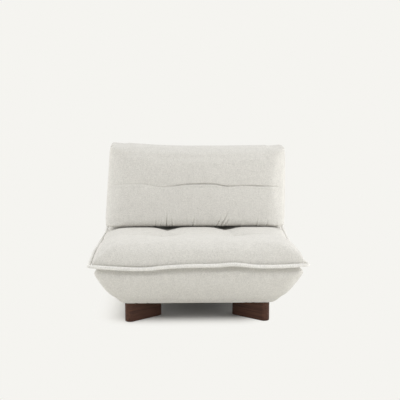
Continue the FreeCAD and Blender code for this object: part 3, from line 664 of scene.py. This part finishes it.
lining_drop = 0.0035
under = {}
seat_points = list(seat_top)
for j in range(lines):
    for i in range(columns):
        at = j * columns + i
        if i in (0, columns - 1) or j in (0, lines - 1):
            under[at] = at
        else:
            under[at] = len(seat_points)
            seat_points.append((plan_x[at], plan_y[at], seam_z - lining_drop))
seat_faces = []
walls = {}
for (i, j), face in zip(seat_cells, top_faces):
    if in_slit(i, j):
        for a, b in zip(face, face[1:] + face[:1]):
            key = (min(a, b), max(a, b))
            walls[key] = None if key in walls else (a, b)
        continue
    seat_faces.append(face)
    seat_faces.append(tuple(under[a] for a in reversed(face)))
seat_faces += [(a, b, under[b], under[a]) for a, b in filter(None, walls.values())]
used = sorted({a for face in seat_faces for a in face})
renumbered = {a: k for k, a in enumerate(used)}
seat_piece = new_piece(
    "seat_cushion",
    [seat_points[a] for a in used],
    [tuple(renumbered[a] for a in face) for face in seat_faces],
)
subdivided(seat_piece)
seat_corners = corners_of(seat_piece)
puffed_over = 0.02
upper = seat_corners[:, 2] > seam_z + puffed_over
tuft_depth, tuft_r = 0.009, 0.02
fold_depth, fold_count, fold_shift = 0.0022, 5, 9
fold_r, fold_width = 0.035, 0.03
for at in tuft_x:
    r = np.hypot(seat_corners[:, 0] - at, seat_corners[:, 1] - tuft_y)
    turn = np.arctan2(seat_corners[:, 1] - tuft_y, seat_corners[:, 0] - at)
    folds = fold_depth * np.cos(fold_count * turn + at * fold_shift)
    folds *= np.exp(-(((r - fold_r) / fold_width) ** 2))
    seat_corners[:, 2] += upper * (folds - tuft_depth * np.exp(-((r / tuft_r) ** 2)))
corner_dents = ((-0.435, -0.40, 0.010), (0.44, -0.405, 0.006), (-0.44, 0.40, 0.006), (0.44, 0.40, 0.006))
dent_length, dent_width = 0.10, 0.055
for dent_x, dent_y, depth in corner_dents:
    out_x = (seat_corners[:, 0] - dent_x) * np.sign(dent_x)
    out_y = (seat_corners[:, 1] - dent_y) * np.sign(dent_y)
    along, across = out_x + out_y, out_x - out_y
    seat_corners[:, 2] -= depth * np.exp(-((along / dent_length) ** 2) - (across / dent_width) ** 2) * upper
seat_place = round_place(seat_corners[:, 0], seat_corners[:, 1])
from_rim = np.minimum(seat_half_x - np.abs(seat_corners[:, 0]), seat_half_y - np.abs(seat_corners[:, 1]))
rim_clear, rim_ease = 0.004, 0.006
at_rim = puckers(seat_place, seam_length, spacing=0.045, width=0.006, seed=21)
rim_tucks = seam_tuck * at_rim * np.exp(-np.maximum(from_rim, 0) / seam_tuck_reach)
rim_tucks *= (seat_corners[:, 2] > seam_z + rim_clear) * swell(from_rim / rim_ease)
seat_corners -= facing(seat_piece) * rim_tucks[:, None]
back_low, back_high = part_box("back_cover")
before_back, back_clear = 0.01, 0.001
behind = seat_corners[:, 1] > back_low.y - before_back
seat_corners[behind, 2] = np.minimum(seat_corners[behind, 2], back_low.z - back_clear)
move_corners(seat_piece, seat_corners)
seat_piece.data.materials.clear()
seat_piece.data.materials.append(chenille("seat_chenille", cloth_tone))
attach(seat_piece, "seat")
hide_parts("seat_cover", "seat_fill")

# Piping round the seat's seam.
# A thick cord wrapped in the same cloth and sewn in between seat and base all round, with pinched ears.
# It follows the seam's rise and fall and thins towards the ears.


def path_of(name, points, full):
    """Closed line of edges for a node tree to follow."""
    mesh = bpy.data.meshes.new(name)
    count = len(points)
    mesh.from_pydata([tuple(map(float, p)) for p in points], [(i, (i + 1) % count) for i in range(count)], [])
    fullness = mesh.attributes.new("fullness", "FLOAT", "POINT")
    fullness.data.foreach_set("value", np.broadcast_to(np.asarray(full, np.float32), count).copy())
    path = bpy.data.objects.new(name, mesh)
    bpy.context.scene.collection.objects.link(path)
    return path


def tree_of(name, *sizes):
    """Geometry node tree with a path, named sizes and a finish coming in and a mesh going out."""
    tree = bpy.data.node_groups.new(name, "GeometryNodeTree")
    sockets = [("Path", "NodeSocketGeometry")]
    sockets += [(size, "NodeSocketFloat") for size in sizes]
    sockets += [("Finish", "NodeSocketMaterial")]
    for label, kind in sockets:
        tree.interface.new_socket(label, in_out="INPUT", socket_type=kind)
    tree.interface.new_socket("Mesh", in_out="OUTPUT", socket_type="NodeSocketGeometry")
    return tree, add(tree, "NodeGroupInput").outputs


def closed_tree(tree, inputs, shape):
    """Ends a tree in real geometry with its finish on it."""
    real = add(tree, "GeometryNodeRealizeInstances", Geometry=shape)
    finished = add(tree, "GeometryNodeSetMaterial", Geometry=real.outputs[0], Material=inputs["Finish"])
    add(tree, "NodeGroupOutput", Mesh=finished.outputs[0])
    return tree


def grown(path, tree, finish, **sizes):
    """Runs a tree along a path and keeps the result as a plain mesh."""
    maker = path.modifiers.new("maker", "NODES")
    maker.node_group = tree
    wanted = {label.replace("_", " "): value for label, value in sizes.items()}
    wanted["Finish"] = finish
    for item in tree.interface.items_tree:
        if item.in_out == "INPUT" and item.name in wanted:
            maker[item.identifier] = wanted[item.name]
    baked(path)
    return path


def welt_tree():
    """Tube along the path whose thickness wanders a little, as a hand-sewn welt does."""
    tree, inputs = tree_of("welt", "Radius", "Unevenness")
    curve = add(tree, "GeometryNodeMeshToCurve", Mesh=inputs["Path"])
    wander = add(tree, "ShaderNodeTexNoise", Scale=14.0, Detail=2.0)
    spread = add(tree, "ShaderNodeMapRange", Value=wander.outputs[0])
    tree.links.new(inputs["Unevenness"], spread.inputs["To Max"])
    lowest = add(tree, "ShaderNodeMath", {"operation": "MULTIPLY"})
    tree.links.new(inputs["Unevenness"], lowest.inputs[0])
    lowest.inputs[1].default_value = -1.0
    tree.links.new(lowest.outputs[0], spread.inputs["To Min"])
    fullness = add(tree, "GeometryNodeInputNamedAttribute", {"data_type": "FLOAT"}, Name="fullness")
    scale = add(tree, "ShaderNodeMath", {"operation": "ADD"})
    tree.links.new(spread.outputs["Result"], scale.inputs[0])
    tree.links.new(fullness.outputs["Attribute"], scale.inputs[1])
    round_section = add(tree, "GeometryNodeCurvePrimitiveCircle", Resolution=14, Radius=inputs["Radius"])
    tube = add(
        tree, "GeometryNodeCurveToMesh", Curve=curve.outputs[0], Profile_Curve=round_section.outputs[0],
        Scale=scale.outputs[0],
    )
    return closed_tree(tree, inputs, tube.outputs[0])


welt_sides = 110
welt_corners = 16
welt_ear = 0.013
# Paler than the cloth tone: a painted highlight for the light on the piping's top, as the cord is covered in
# the seat's own cloth.
piping_tone_with_painted_highlight = (0.82, 0.81, 0.777)
ear_tip = 0.001
ear_taper = 0.34
ear_reach = 0.022
welt_tightness = 0.98
welt_line = rounded_outline(
    seam_half_x, seam_half_y, welt_ear, hull_draw_x[-1], hull_draw_y[-1], welt_sides, welt_corners
)
welt_z = seam_z + seam_wave(welt_line[:, 0], welt_line[:, 1])
from_ear = [seam_half_x, seam_half_y] - np.abs(welt_line)
pinch = np.exp(-((from_ear[:, 0] ** 2 + from_ear[:, 1] ** 2) / ear_reach**2))
welt_line += ear_tip * pinch[:, None] * np.sign(welt_line)
welt_line[:, 0] += side_draw(welt_line[:, 0], welt_line[:, 1])
piping_painted_highlight_finish = chenille("piping_chenille_painted_highlight", piping_tone_with_painted_highlight)
piping_piece = grown(
    path_of("seat_welt", np.column_stack([welt_line, welt_z]), 1 - ear_taper * pinch),
    welt_tree(), piping_painted_highlight_finish, Radius=piping_r * welt_tightness, Unevenness=0.05,
)
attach(piping_piece, "seat")
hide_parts("seat_piping")

# Webbing and steel tongues of the back frame.
# Elastic webbing is stretched over the front of the frame; two flat steel tongues are screwed behind its
# bottom rail and slide down into the sockets of the seat.

# A thick cord wrapped in the same cloth and sewn in between seat and base all round, with pinched ears; its
# colour is painted paler than the seat's as a painted highlight of the light on its top.

def webbing(name, pale, dark):
    """Flat elastic strap: ribs along its length crossed by fine picks."""
    material, tree, shader, place = blank_finish(name)
    ribs = add(tree, "ShaderNodeTexWave", {"bands_direction": "Z"}, Vector=place, Scale=55.0)
    picks = add(tree, "ShaderNodeTexWave", {"bands_direction": "X"}, Vector=place, Scale=130.0)
    cross = add(tree, "ShaderNodeMath", {"operation": "MULTIPLY"})
    tree.links.new(ribs.outputs["Fac"], cross.inputs[0])
    tree.links.new(picks.outputs["Fac"], cross.inputs[1])
    tree.links.new(mixed(tree, "MIX", cross.outputs[0], (*dark, 1), (*pale, 1)), shader.inputs["Base Color"])
    shader.inputs["Roughness"].default_value = 0.85
    bumped(tree, shader, cross.outputs[0], strength=0.5, distance=0.0006)
    return material


dress(webbing("elastic_strap", (0.2, 0.19, 0.17), (0.1, 0.095, 0.085)), "back_webbing")
rolled_marks = (0.03, 0.03, 0.002)
dress(
    metal("tongue_steel", (0.1, 0.1, 0.105), roughness=0.42, mottle=40.0, streak=rolled_marks, wear=0.2),
    "back_tongue_left", "back_tongue_right",
)

# Back cushion: one padded cover over the back frame.
# Two flat panels sewn together round their edge, pulled in along a hand-sewn crease across the front, with
# the cloth gathered where it turns under at the foot.

back_half_x = back_high.x
back_foot = back_low.z
back_top = 0.776
back_front_y = (0.106, 0.220)
back_rear_y = (0.398, 0.478)
back_narrowing = 0.014
back_lean = 0.018
outline_r = 0.013
side_run = 0.095
side_depth = 0.05
foot_run = 0.018
foot_depth = 0.042
top_r = 0.025
ear_rise = (0.027, 0.012)
ear_power = (2.2, 6.0)
front_bulge = 0.008
puff_bulge = 0.004
rear_bulge = 0.014
side_bulge = (0.0, 0.005)
top_bulge = 0.006
crease_z = 0.594
crease_x = (-0.44, -0.29, -0.172, -0.075, 0.023, 0.112, 0.172, 0.245, 0.332, 0.405, 0.46)
crease_rise = (0.003, 0.009, -0.006, 0.004, 0.010, 0.007, -0.003, 0.0, -0.002, -0.006, -0.010)
crease_pull = (0.001, 0.002, 0.004, 0.008, 0.011, 0.011, 0.010, 0.007, 0.009, 0.006, 0.002)
valley_depth = 0.002
valley_width = 0.026
crease_band = 0.02
crease_ease = 0.09
depth_cells = 8
edge_blend = 4
edge_fade_power = 6
face_power, puff_power, belly_power = 0.6, 0.7, 0.8
ears_from = 0.75


def eased_marks(length, first_r, last_r, stops, cells, turns=6):
    """Places along one side, close together where its ends curve round."""
    bend = 1 - np.cos(np.linspace(0, quarter_turn, turns + 1))
    first = first_r * bend
    last = length - last_r * bend[::-1]
    marks = [first[-1], *stops, last[0]]
    spans = [
        np.linspace(a, b, max(1, round((b - a) / cell)), endpoint=False)
        for a, b, cell in zip(marks, marks[1:], cells)
    ]
    return np.concatenate([first[:-1], *spans, last])


def box_skin(nx, ny, nz):
    """Grid cells over the outside of a box: point keys, and four-sided faces on them."""
    keys, faces = {}, []
    counts = (nx, ny, nz)
    for a, b, c in ((0, 1, 2), (1, 2, 0), (2, 0, 1)):
        for end in (0, counts[c]):
            for i in range(counts[a]):
                for j in range(counts[b]):
                    cell = []
                    for di, dj in ((0, 0), (1, 0), (1, 1), (0, 1)):
                        spot = [0, 0, 0]
                        spot[a], spot[b], spot[c] = i + di, j + dj, end
                        cell.append(keys.setdefault(tuple(spot), len(keys)))
                    faces.append(tuple(cell))
    return np.array(list(keys)), faces


def puff(t, power):
    """Full rounded bulge over 0 to 1."""
    return np.sin(math.pi * np.clip(t, 0, 1)) ** power


back_height = back_top - back_foot
crease_over_foot = crease_z - back_foot
gathered_half = 0.24
x_marks = eased_marks(
    2 * back_half_x, side_run, side_run,
    [back_half_x - gathered_half, back_half_x + gathered_half], cells=[0.0066, 0.0044, 0.0066], turns=9,
)
x_marks -= back_half_x
z_marks = eased_marks(
    back_height, foot_run, top_r,
    [crease_over_foot - crease_band, crease_over_foot + crease_band], cells=[0.009, 0.0034, 0.009],
)
back_keys, back_faces = box_skin(len(x_marks) - 1, depth_cells, len(z_marks) - 1)
flat_x = x_marks[back_keys[:, 0]]
flat_z = z_marks[back_keys[:, 2]]
deep = back_keys[:, 1] / depth_cells
from_side = back_half_x - np.abs(flat_x)
from_foot = flat_z
from_top = back_height - flat_z
side_turn = np.clip(1 - from_side / side_run, 0, 1)
end_turn = np.clip(np.maximum(1 - from_foot / foot_run, 1 - from_top / top_r), 0, 1)
end_depth = np.where(from_foot < from_top, foot_depth, top_r)
edge_depth = (side_turn * side_depth + end_turn * end_depth) / np.maximum(side_turn + end_turn, 1e-9)
turn = np.minimum((side_turn**edge_blend + end_turn**edge_blend) ** (1 / edge_blend), 1)
edge_drop = edge_depth * (1 - np.sqrt(1 - turn**2))
inner_x = np.clip(flat_x, outline_r - back_half_x, back_half_x - outline_r)
inner_z = np.clip(flat_z, outline_r, back_height - outline_r)
off_x, off_z = flat_x - inner_x, flat_z - inner_z
squared = np.maximum(np.abs(off_x), np.abs(off_z)) / np.maximum(np.hypot(off_x, off_z), 1e-9)
plan_x = inner_x + off_x * squared
plan_z = inner_z + off_z * squared
high_share = plan_z / back_height
side_share = plan_x / back_half_x
crease_share = crease_over_foot / back_height
crease_here = through(crease_x, crease_rise, plan_x)
crease_away = plan_z - crease_over_foot
edge_fade = 1 - np.abs(side_share) ** edge_fade_power
face_puff = puff(high_share, face_power)
low_puff = puff(high_share / crease_share, puff_power)
high_puff = puff((high_share - crease_share) / (1 - crease_share), puff_power)
front_push = front_bulge * face_puff + puff_bulge * np.maximum(low_puff, high_puff)
front_push -= valley_depth * np.exp(-((crease_away / valley_width) ** 2))
rear_push = rear_bulge * face_puff
front_y = back_front_y[0] + (back_front_y[1] - back_front_y[0]) * high_share
rear_y = back_rear_y[0] + (back_rear_y[1] - back_rear_y[0]) * high_share
front_skin = front_y - front_push * edge_fade + edge_drop
rear_skin = rear_y + rear_push * edge_fade - edge_drop
skin_y = front_skin + (rear_skin - front_skin) * deep
belly = puff(deep, belly_power)
crown = swell((high_share - ears_from) / (1 - ears_from))
left_half = side_share < 0
ears = np.where(left_half, ear_rise[0], ear_rise[1])
ears = ears * np.abs(side_share) ** np.where(left_half, *ear_power)
skin_z = back_foot + plan_z + crease_here * np.exp(-((crease_away / crease_ease) ** 2)) * (1 - deep)
skin_z += crown * (ears + top_bulge * belly * (back_keys[:, 2] == len(z_marks) - 1))
skin_x = plan_x * (1 - back_narrowing / 2 / back_half_x * high_share) + back_lean * high_share
on_side = (back_keys[:, 0] == 0) | (back_keys[:, 0] == len(x_marks) - 1)
skin_x += np.sign(plan_x) * np.where(left_half, *side_bulge) * belly * face_puff * on_side
back_piece = new_piece("back_cushion", np.column_stack([skin_x, skin_y, skin_z]), back_faces)
crease_hold, crease_hold_band = 0.05, 0.004
corner_from = 1.15
crease_line = (back_keys[:, 1] == 0) & (np.abs(crease_away) < crease_hold_band)
back_held = np.where(crease_line, crease_hold, 0.0)
back_held = np.maximum(back_held, 1.0 * (end_turn + side_turn > corner_from))
back_held = np.maximum(back_held, 1.0 * (back_keys[:, 2] == 0))
inflate(back_piece, back_held, pressure=2.5, slack=0.01, reach=0.006)
subdivided(back_piece)
back_corners = corners_of(back_piece)
back_normals = facing(back_piece)
bx, by, bz = back_corners.T
front_from, front_span = 0.1, 0.4
groove_width, groove_end = 0.0026, 0.05
lip_share, lip_below, lip_width = 0.22, 0.009, 0.005
in_front = swell((-back_normals[:, 1] - front_from) / front_span)
crease_off = bz - crease_z - through(crease_x, crease_rise, bx)
pull = through(crease_x, crease_pull, bx)
groove = pull * np.exp(-((crease_off / groove_width) ** 2))
groove -= lip_share * pull * np.exp(-(((crease_off + lip_below) / lip_width) ** 2))
groove *= swell((back_half_x - np.abs(bx)) / groove_end)
gather_x = (-0.216, -0.186, -0.154, -0.121, -0.014, 0.112, 0.134, 0.156, 0.236, 0.327, 0.382, 0.433, -0.33)
gather_depth = (0.4, 0.5, 1.0, 0.7, 0.6, 0.8, 1.0, 0.6, 0.3, 0.5, 0.4, 0.5, 0.25)
gather_lean = (0.1, 0.1, 0.0, -0.15, 0.1, 0.45, 0.5, 0.45, 0.2, 0.1, 0.1, 0.0, 0.0)
gather_reach = (0.03, 0.03, 0.048, 0.032, 0.036, 0.042, 0.05, 0.035, 0.025, 0.03, 0.025, 0.03, 0.02)
deepest_gather = 0.0085
gather_width = 0.0028
ridge_share, ridge_off, ridge_width = 0.4, 0.0078, 0.004
gather_full = 0.012
foot_tuck, foot_tuck_reach = 0.003, 0.022
gathers = np.zeros(len(bx))
over_foot = bz - back_foot
for at, depth, lean, reach in zip(gather_x, gather_depth, gather_lean, gather_reach):
    off = bx - at - lean * over_foot
    ridges = np.exp(-(((np.abs(off) - ridge_off) / ridge_width) ** 2))
    shape = np.exp(-((off / gather_width) ** 2)) - ridge_share * ridges
    fade = np.exp(-((np.maximum(over_foot - gather_full, 0) / reach) ** 2))
    gathers += deepest_gather * depth * shape * fade
at_foot = puckers(bx + back_half_x, 2 * back_half_x, spacing=0.026, width=0.0036, seed=31)
gathers += foot_tuck * at_foot * np.exp(-over_foot / foot_tuck_reach)
back_corners -= back_normals * ((groove + gathers) * in_front)[:, None]
back_corners[:, 2] = np.maximum(back_corners[:, 2], back_foot)
move_corners(back_piece, back_corners)
back_piece.data.materials.clear()
back_piece.data.materials.append(chenille("back_chenille", cloth_tone))
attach(back_piece, "back")
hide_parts("back_cover", "back_fill")

# Link plates under both sides.
# Flat steel bars with round ends that swing out on shoulder bolts to join the next chair.

brushed_marks = (0.002, 0.06, 0.01)
dress(
    metal("link_steel", (0.5, 0.51, 0.53), roughness=0.36, mottle=30.0, streak=brushed_marks),
    "link_plate_right", "link_plate_left",
)

# Floor, light and camera.
# A pale seamless floor in an even white room, a large soft box on the right, a weaker one on the left, and a
# small one at each side towards the rear that lights the edges.

floor_half = 12.0
floor_corners = [(x * floor_half, y * floor_half, 0) for x, y in ((-1, -1), (1, -1), (1, 1), (-1, 1))]
floor = new_piece("floor", floor_corners, [(0, 1, 2, 3)])
paper = (0.913, 0.905, 0.871)
floor_finish, floor_tree, floor_shader, floor_place = blank_finish("seamless_paper")
floor_shader.inputs["Base Color"].default_value = (*paper, 1)
floor_shader.inputs["Roughness"].default_value = 1.0
floor_shader.inputs["Specular IOR Level"].default_value = 0.0
shadow_shift = (0.06, 0.0, 0.0)
shifted = add(floor_tree, "ShaderNodeMapping", Vector=floor_place, Location=shadow_shift)
inside = add(floor_tree, "ShaderNodeVectorMath", {"operation": "ABSOLUTE"}, Vector=shifted.outputs[0])
footprint = (0.25, 0.26, 0.0)
beyond = add(floor_tree, "ShaderNodeVectorMath", {"operation": "SUBTRACT"}, Vector=inside.outputs[0])
beyond.inputs[1].default_value = footprint
outside_only = add(floor_tree, "ShaderNodeVectorMath", {"operation": "MAXIMUM"}, Vector=beyond.outputs[0])
distance = add(floor_tree, "ShaderNodeVectorMath", {"operation": "LENGTH"}, Vector=outside_only.outputs[0])
fade_start = 0.0
fade_end = 0.2
far = add(
    floor_tree, "ShaderNodeMapRange", {"interpolation_type": "SMOOTHSTEP"}, Value=distance.outputs["Value"],
    From_Min=fade_start, From_Max=fade_end,
)
seen = add(floor_tree, "ShaderNodeLightPath")
seen_far = add(floor_tree, "ShaderNodeMath", {"operation": "MULTIPLY"})
floor_tree.links.new(far.outputs["Result"], seen_far.inputs[0])
floor_tree.links.new(seen.outputs["Is Camera Ray"], seen_far.inputs[1])
glow = add(floor_tree, "ShaderNodeEmission", Color=(*paper, 1), Strength=1.0)
blend = add(floor_tree, "ShaderNodeMixShader", Fac=seen_far.outputs[0])
first_shader, second_shader = 1, 2
floor_tree.links.new(floor_shader.outputs[0], blend.inputs[first_shader])
floor_tree.links.new(glow.outputs[0], blend.inputs[second_shader])
floor_tree.links.new(blend.outputs[0], floor_tree.nodes["Material Output"].inputs["Surface"])
floor.data.materials.append(floor_finish)

room = bpy.data.worlds.new("white_room")
bpy.context.scene.world = room
room.use_nodes = True
room_tree = room.node_tree
room_light = room_tree.nodes["Background"]
room_tone = (1.0, 0.995, 0.98)
room_light.inputs["Color"].default_value = (*room_tone, 1)
direction = add(room_tree, "ShaderNodeTexCoord").outputs["Generated"]
upward = add(room_tree, "ShaderNodeSeparateXYZ", Vector=direction)
wall_light = 0.53
ceiling_light = 1.19
room_level = remapped(room_tree, upward.outputs["Z"], wall_light, ceiling_light)
room_tree.links.new(room_level, room_light.inputs["Strength"])
room_seen = add(room_tree, "ShaderNodeBackground", Color=(*paper, 1), Strength=1.0)
ray = add(room_tree, "ShaderNodeLightPath")
shiny = add(room_tree, "ShaderNodeMath", {"operation": "MAXIMUM"})
room_tree.links.new(ray.outputs["Is Camera Ray"], shiny.inputs[0])
room_tree.links.new(ray.outputs["Is Glossy Ray"], shiny.inputs[1])
clear = add(room_tree, "ShaderNodeMath", {"operation": "MAXIMUM"})
room_tree.links.new(shiny.outputs[0], clear.inputs[0])
room_tree.links.new(ray.outputs["Is Transmission Ray"], clear.inputs[1])
room_mix = add(room_tree, "ShaderNodeMixShader", Fac=clear.outputs[0])
room_tree.links.new(room_light.outputs[0], room_mix.inputs[first_shader])
room_tree.links.new(room_seen.outputs[0], room_mix.inputs[second_shader])
room_tree.links.new(room_mix.outputs[0], room_tree.nodes["World Output"].inputs["Surface"])


def soft_lamp(name, place, target, size, power):
    """Square soft box aimed at a point."""
    data = bpy.data.lights.new(name, "AREA")
    data.size = size
    data.energy = power
    lamp = bpy.data.objects.new(name, data)
    bpy.context.scene.collection.objects.link(lamp)
    lamp.location = place
    aim = np.array(target) - np.array(place)
    lamp.rotation_euler = (
        math.atan2(math.hypot(aim[0], aim[1]), -aim[2]),
        0,
        math.atan2(aim[1], aim[0]) - quarter_turn,
    )
    lamp.visible_camera = False


chair_middle = (0, 0, 0.4)
chair_edge = (0, -0.1, 0.45)
soft_lamp("right", (3.0, -1.5, 1.7), chair_middle, size=1.8, power=32.0)
soft_lamp("right_edge", (2.4, 0.5, 1.1), chair_edge, size=1.4, power=9.5)
soft_lamp("left", (-3.0, -1.0, 1.7), chair_middle, size=1.8, power=4.5)
soft_lamp("left_edge", (-2.4, 0.3, 1.1), chair_edge, size=1.4, power=11.5)

camera_data = bpy.data.cameras.new("camera")
camera_data.sensor_width = 36.0
camera_data.lens = 79.0
camera = bpy.data.objects.new("camera", camera_data)
bpy.context.scene.collection.objects.link(camera)
camera.location = (-0.10, -4.5, 1.267)
look_down = math.radians(9.157)
look_right = math.radians(1.562)
camera.rotation_euler = (quarter_turn - look_down, 0, -look_right)
bpy.context.scene.camera = camera
bpy.context.scene.view_settings.view_transform = "Standard"
